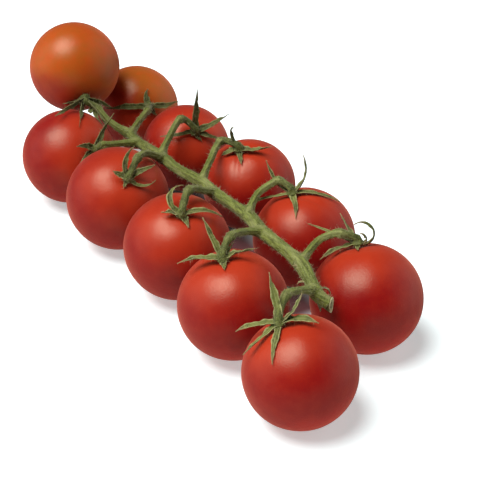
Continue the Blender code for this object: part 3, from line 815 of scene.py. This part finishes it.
def add_blade(shell, uv_layer, place, turned, leaf, seed, slot):
    """A thin keeled blade with wavy margins and a twisted tip, as a closed shell."""
    rng = random.Random(seed)
    azimuth, length, width, rise, tip_rise, turn = leaf
    twist = math.radians(rng.uniform(-SEPAL_TWIST, SEPAL_TWIST))
    waves = rng.uniform(*SEPAL_WAVES)
    phase = rng.uniform(0, 2 * math.pi)
    sway = rng.uniform(-SEPAL_SWAY, SEPAL_SWAY)
    keel = SEPAL_KEEL * rng.uniform(*KEEL_SPREAD)
    rows = []
    for i in range(SEPAL_STATIONS + 1):
        s = i / SEPAL_STATIONS
        heading = math.radians(azimuth + turn * s + sway * math.sin(s * math.pi * waves))
        lift = math.radians(rise + (tip_rise - rise) * s)
        across = Vector((-math.sin(heading), math.cos(heading), 0))
        along = across.cross(Vector((0, 0, 1))) * math.cos(lift) + Vector((0, 0, math.sin(lift)))
        up = along.cross(across)
        outline = (1 - s**SEPAL_TAPER) * (SEPAL_ROOT + SEPAL_SWELL * s)
        half = max(SEPAL_LEAST, SEPAL_SLIM * width * outline / 2)
        bend = twist * s**SEPAL_TWIST_EASE
        side = across * math.cos(bend) + up * math.sin(bend)
        face = up * math.cos(bend) - across * math.sin(bend)
        row = []
        for k in range(SEPAL_ACROSS + 1):
            w = 2 * k / SEPAL_ACROSS - 1
            fold = -half * keel * (1 - abs(w) ** KEEL_ROUND)
            lead, fine_lead = (MARGIN_LEAD, FINE_LEAD) if w > 0 else (0, 0)
            ripple = math.sin(2 * math.pi * waves * s + phase + lead)
            ripple += 0.5 * math.sin(FINE_WAVES * math.pi * waves * s + 2 * phase + fine_lead)
            flutter = SEPAL_FLUTTER * half * w * w * ripple
            narrow = 1 + MARGIN_UNEVEN * ripple * abs(w)
            point = place + turned @ (side * w * half * narrow + face * (fold + flutter))
            row.append(clear_of_fruit(point, SEPAL_CLEARANCE))
        rows.append(row)
        place = place + turned @ along * length / SEPAL_STATIONS
    grid = np.array([[tuple(p) for p in row] for row in rows])
    normal = np.cross(np.gradient(grid, axis=0), np.gradient(grid, axis=1))
    normal /= np.maximum(np.linalg.norm(normal, axis=2, keepdims=True), 1e-9)
    w = np.linspace(-1, 1, SEPAL_ACROSS + 1)[None, :, None]
    s = np.linspace(0, 1, SEPAL_STATIONS + 1)[:, None, None]
    thick = SEPAL_THICKNESS / 2 * (1 - THIN_MARGIN * np.abs(w) ** 1.5) * (1 - THIN_TIP * s)
    top, under = (
        [[shell.verts.new(p) for p in row] for row in (grid + normal * thick * k) * MM]
        for k in (1, -1)
    )
    panels = []
    for i in range(SEPAL_STATIONS):
        for k in range(SEPAL_ACROSS):
            spots = ((i, k), (i + 1, k), (i + 1, k + 1), (i, k + 1))
            panels.append(([top[a][b] for a, b in spots], spots, 0.0))
            panels.append(([under[a][b] for a, b in spots[::-1]], spots[::-1], 1.0))
    rim = [(i, 0) for i in range(SEPAL_STATIONS)]
    rim += [(SEPAL_STATIONS, k) for k in range(SEPAL_ACROSS)]
    rim += [(i, SEPAL_ACROSS) for i in range(SEPAL_STATIONS, 0, -1)]
    rim += [(0, k) for k in range(SEPAL_ACROSS, 0, -1)]
    for a, b in zip(rim, rim[1:] + rim[:1]):
        corners = [under[a[0]][a[1]], under[b[0]][b[1]], top[b[0]][b[1]], top[a[0]][a[1]]]
        panels.append((corners, (a, b, b, a), 0.0))
    for corners, spots, offset in panels:
        made = shell.faces.new(corners)
        made.material_index = slot
        for loop, (i, k) in zip(made.loops, spots):
            across_uv = min(max(k / SEPAL_ACROSS, UV_INSET), 1 - UV_INSET) + offset
            loop[uv_layer].uv = (across_uv, i / SEPAL_STATIONS)


def make_calyx(index, neck_material, leaf_material):
    """The pedicel beyond the knuckle with its button, and the sepals that spread from it."""
    number = index + 1
    _, (outer, radii) = pedicel_routes(index)
    shell = bmesh.new()
    add_tube(shell, outer, radii, PEDICEL_SIDES)
    place = Matrix.Translation(button_middle(index)) @ leaning(FRUITS[index]).to_4x4()
    wide, tall = BUTTON_SHAPE
    stretch = Matrix.Diagonal((wide, wide, tall, 1))
    place = Matrix.Scale(MM, 4) @ place @ stretch
    bmesh.ops.create_uvsphere(shell, u_segments=20, v_segments=12, radius=1, matrix=place)
    neck = fused(f"neck_{number:02d}", shell, NECK_VOXEL)
    add_grain(neck, [outer], NECK_RIDGE_HEIGHT)
    whole = bmesh.new()
    whole.from_mesh(neck)
    bpy.data.meshes.remove(neck)
    uv_layer = whole.loops.layers.uv.new("blade")
    middle = button_middle(index)
    for k, leaf in enumerate(FRUITS[index]["leaves"]):
        add_blade(whole, uv_layer, middle, leaning(FRUITS[index]), leaf, 100 * number + k, 1)
    mesh = mesh_of(f"calyx_leaves_{number:02d}", whole)
    mesh.shade_smooth()
    return new_object(mesh.name, mesh, [neck_material, leaf_material])


def make_bracts(withered, green):
    """The withered scraps and green scales, their roots sunk in the stem and its pedicels."""
    whole = bmesh.new()
    uv_layer = whole.loops.layers.uv.new("blade")
    for k, (place, leaf, fresh) in enumerate(BRACTS):
        add_blade(whole, uv_layer, Vector(place), Matrix.Identity(3), leaf, 40 + k, fresh)
    mesh = mesh_of("stem_bracts", whole)
    mesh.shade_smooth()
    return new_object(mesh.name, mesh, [withered, green])


def make_cut(material):
    """The cut end of the main stem: a pale ring of bark round a dark hollow, as one turned form."""
    start = Vector(RACHIS[0][:3])
    out = Vector(CUT_FACE).normalized()
    across = out.cross(Vector((0, 0, 1))).normalized()
    up = across.cross(out)
    lathe = bmesh.new()
    depths = []
    rings = []
    coarse, fine = CUT_UNEVEN
    for radius, height, depth in CUT_PROFILE:
        ring = []
        for k in range(TUBE_SIDES * 2):
            turn = math.pi * k / TUBE_SIDES
            uneven = 1 + coarse * math.sin(3 * turn + 1.0) + fine * math.sin(7 * turn)
            spot = across * math.cos(turn) * CUT_SQUASH + up * math.sin(turn)
            spot = start + spot * radius * uneven + out * height
            ring.append(lathe.verts.new(spot * MM))
            depths.append(depth)
        rings.append(ring)
    for a, b in zip(rings, rings[1:]):
        for k in range(len(a)):
            n = (k + 1) % len(a)
            lathe.faces.new((a[k], b[k], b[n], a[n]))
    lathe.faces.new(rings[0])
    lathe.faces.new(rings[-1][::-1])
    bmesh.ops.recalc_face_normals(lathe, faces=lathe.faces)
    mesh = mesh_of("stem_cut", lathe)
    add_attribute(mesh, "depth", "FLOAT", "value", depths)
    mesh.shade_smooth()
    return new_object(mesh.name, mesh, [material])


# ---------------------------------------------------------------- hairs


def make_hairs(name, sources, counts, material, seed):
    """Fine tapering hairs, each a closed three-sided spike, standing out of the given objects' faces."""
    rng = np.random.default_rng(seed)
    verts, faces = [], []
    for source, count in zip(sources, counts):
        mesh = source.data
        mesh.calc_loop_triangles()
        co = np.array([v.co for v in mesh.vertices])
        tris = np.array([t.vertices for t in mesh.loop_triangles])
        a, b, c = co[tris[:, 0]], co[tris[:, 1]], co[tris[:, 2]]
        cross = np.cross(b - a, c - a)
        area = np.linalg.norm(cross, axis=1)
        picked = rng.choice(len(tris), count, p=area / area.sum())
        u, v = rng.random((2, count, 1))
        flip = u + v > 1
        u, v = np.where(flip, 1 - u, u), np.where(flip, 1 - v, v)
        foot = a[picked] + (b - a)[picked] * u + (c - a)[picked] * v
        normal = cross[picked] / np.maximum(area[picked], 1e-12)[:, None]
        way = normal + rng.normal(0, HAIR_LEAN, (count, 3))
        way /= np.linalg.norm(way, axis=1, keepdims=True)
        shortest, longest = HAIR_LENGTH
        length = (shortest + (longest - shortest) * rng.random((count, 1)) ** HAIR_SKEW) * MM
        side = np.cross(way, rng.normal(0, 1, (count, 3)))
        side /= np.linalg.norm(side, axis=1, keepdims=True)
        other = np.cross(way, side)
        for f, w, s, o, length_one in zip(foot, way, side, other, length):
            base = len(verts)
            for turn in (0, 2 * math.pi / 3, 4 * math.pi / 3):
                rim = (s * math.cos(turn) + o * math.sin(turn)) * HAIR_RADIUS
                verts.append(f + (rim - w * HAIR_ROOT) * MM)
            verts.append(f + w * length_one)
            faces += [(base + 2, base + 1, base), (base, base + 1, base + 3)]
            faces += [(base + 1, base + 2, base + 3), (base + 2, base, base + 3)]
    mesh = bpy.data.meshes.new(name)
    mesh.from_pydata([tuple(v) for v in verts], [], faces)
    mesh.update()
    return new_object(name, mesh, [material])


# ---------------------------------------------------------------- the truss

# Colours of the fruit: its middle, round its stem end, its far end, its flecks and its blossom scar
BODY = (0.240, 0.0004, 0.0020)
SHOULDER = (0.45, 0.031, 0.008)
# The far end's brighter red is partly the fruit's own and partly painted bounce light on the undersides.
TIP_AND_BOUNCE_LIGHT = (0.40, 0.007, 0.005)
FLECK = (0.60, 0.08, 0.03)
SCAR = (0.16, 0.08, 0.03)
PORE_SCALE = 42.0
OLIVE = (0.85, 1.15, 1.3)  # what browns and greens the unripe colour where it is least ripe
BLADE_SHADE = 0.36  # the dark parts of a sepal against its own colour
HAIR_SHADE = 0.7
FLOOR_GLOW = 0.40

# The unripe fruits: colour of the unripe side, the direction that it faces, and where it fades in
UNRIPE = {
    10: ((0.44, 0.080, 0.005), (0.80, 0.05, 0.60), (-0.15, 0.45)),
    11: ((0.47, 0.070, 0.004), (0.50, 0.25, 0.80), (-0.80, -0.15)),
}

# The heading, depth and reach of each groove that runs down from the stem end, and the size of the skin
PLAIN = {"grooves": (), "shrink": SKIN_SHRINK}
LOOKS = {
    4: {"grooves": ((-60, 0.030, 0.75),), "shrink": SKIN_SHRINK},
    6: {"grooves": ((-130, 0.034, 0.8), (-60, 0.015, 0.6)), "shrink": OUTER_SHRINK},
}

stem_green = stem_skin("stem_bark", (0.066, 0.080, 0.009), (0.205, 0.240, 0.048), (0.42, 0.43, 0.17))
neck_green = stem_skin("neck_bark", (0.046, 0.056, 0.008), (0.150, 0.170, 0.036), (0.36, 0.36, 0.14))
leaf_green = leaf_skin("sepal_blade", (0.150, 0.170, 0.034), (0.38, 0.37, 0.15), (0.35, 0.25, 0.11))
dry_brown = leaf_skin("dry_blade", (0.19, 0.18, 0.06), (0.46, 0.38, 0.20), (0.40, 0.24, 0.11))
cut_brown = cut_skin("cut_face", (0.12, 0.13, 0.03), (0.52, 0.47, 0.26), (0.07, 0.035, 0.02))
hair_pale = hair_skin("pale_hair", (0.44, 0.43, 0.24))

calyces = []
for index in range(len(FRUITS)):
    number = index + 1
    unripe = None
    if number in UNRIPE:
        hue, facing, edges = UNRIPE[number]
        facing = leaning(FRUITS[index]).inverted() @ Vector(facing).normalized()
        unripe = (hue, tuple(facing), edges)
    skin = fruit_skin(f"skin_{number:02d}", number, BODY, SHOULDER, TIP_AND_BOUNCE_LIGHT, unripe)
    fruit_piece = make_fruit(index, skin, LOOKS.get(number, PLAIN))
    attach(fruit_piece, "root")
    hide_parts(f"tomato_{number:02d}")
    calyx = make_calyx(index, neck_green, leaf_green)
    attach(calyx, "root")
    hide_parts(f"calyx_{number:02d}")
    calyces.append(calyx)

stem = make_stem(stem_green)
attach(stem, "root")
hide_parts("stem")

for piece in (make_cut(cut_brown), make_bracts(dry_brown, leaf_green)):
    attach(piece, "root")

stem_hairs = make_hairs("stem_hairs", [stem], [STEM_HAIRS], hair_pale, 5)
calyx_hairs = make_hairs("calyx_hairs", calyces, [CALYX_HAIRS] * len(calyces), hair_pale, 6)
for piece, slot in ((stem_hairs, "stem_green"), (calyx_hairs, "calyx_green")):
    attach(piece, "root")

# ---------------------------------------------------------------- floor, light and camera

# In metres, as Blender has them
FLOOR_SIZE = 60.0
FLOOR_DROP = 0.0001
CAMERA_PLACE = (-0.1768, -0.3369, 0.2711)
CAMERA_CLIP = 0.01

CAMERA_TURN = (55, 0, -29.5)
CAMERA_LENS = 100
CAMERA_SENSOR = 36
WORLD_STRENGTH = 0.04

bare = bmesh.new()
under_truss = Matrix.Translation((0, 0, -FLOOR_DROP))
bmesh.ops.create_grid(bare, x_segments=2, y_segments=2, size=FLOOR_SIZE, matrix=under_truss)
floor = new_object("floor", mesh_of("floor", bare), [floor_paint("floor_paint")])
floor.visible_glossy = False  # its reflection would wash out the red of the undersides

# Each light: strength, width in degrees, and the direction towards it
LIGHTS = {
    "softbox": (3.7, 40, (-0.37, 0.08, 0.93)),
    "left_wall": (0.62, 60, (-0.80, 0.40, 0.44)),
    "right_wall": (0.60, 75, (0.84, -0.30, 0.36)),
}
for name, (energy, width, towards) in LIGHTS.items():
    lamp = bpy.data.lights.new(name, "SUN")
    lamp.energy = energy
    lamp.angle = math.radians(width)
    lamp_object = bpy.data.objects.new(name, lamp)
    lamp_object.rotation_euler = Vector(towards).to_track_quat("Z", "Y").to_euler()
    bpy.context.scene.collection.objects.link(lamp_object)

world = bpy.data.worlds.new("studio")
world.use_nodes = True
background = world.node_tree.nodes["Background"]
background.inputs["Color"].default_value = (1, 1, 1, 1)
background.inputs["Strength"].default_value = WORLD_STRENGTH
bpy.context.scene.world = world
bpy.context.scene.view_settings.view_transform = "Standard"

eye = bpy.data.cameras.new("camera")
eye.lens = CAMERA_LENS
eye.sensor_width = CAMERA_SENSOR
eye.clip_start = CAMERA_CLIP
camera = bpy.data.objects.new("camera", eye)
camera.location = CAMERA_PLACE
camera.rotation_euler = [math.radians(a) for a in CAMERA_TURN]
bpy.context.scene.collection.objects.link(camera)
bpy.context.scene.camera = camera
